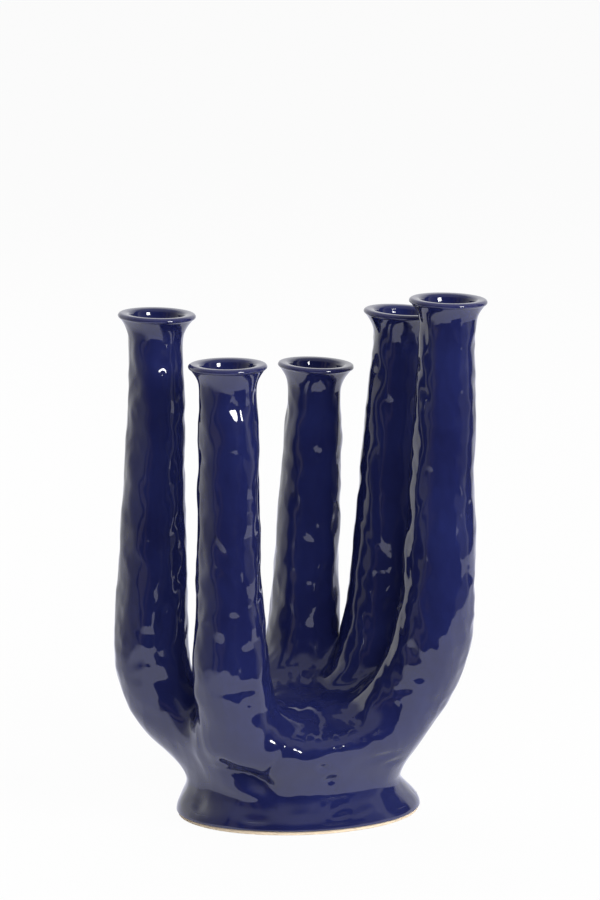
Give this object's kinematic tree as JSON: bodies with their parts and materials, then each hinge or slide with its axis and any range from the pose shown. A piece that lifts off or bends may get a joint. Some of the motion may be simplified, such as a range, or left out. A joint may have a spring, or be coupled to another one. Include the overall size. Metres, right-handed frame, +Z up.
{
  "type": "ceramic vase",
  "caption": "Hand-built cobalt-glazed ceramic vase: hand-shaped body on a flared oval foot, with hollow tubular arms that end in flared collars and open mouths.",
  "frame": {"origin": "centre of the part's footprint box, on the plane of the table that it stands on", "axes": "+Z up; the pictured front faces -Y; +X to the right as pictured"},
  "size_m": [0.2464, 0.1554, 0.3497],
  "materials": {
    "cobalt_glaze": "high-gloss cobalt blue glaze, pooled darker in hollows, lighter on the lips",
    "bare_clay": "unglazed buff stoneware, matte"
  },
  "bodies": {
    "root": {"base_slab": "bare_clay", "foot": "cobalt_glaze", "body": "cobalt_glaze", "arm_left": "cobalt_glaze", "arm_front": "cobalt_glaze", "arm_middle": "cobalt_glaze", "arm_back": "cobalt_glaze", "arm_right": "cobalt_glaze", "collar_left": "cobalt_glaze", "collar_front": "cobalt_glaze", "collar_middle": "cobalt_glaze", "collar_back": "cobalt_glaze", "collar_right": "cobalt_glaze"}
  },
  "joints": []
}
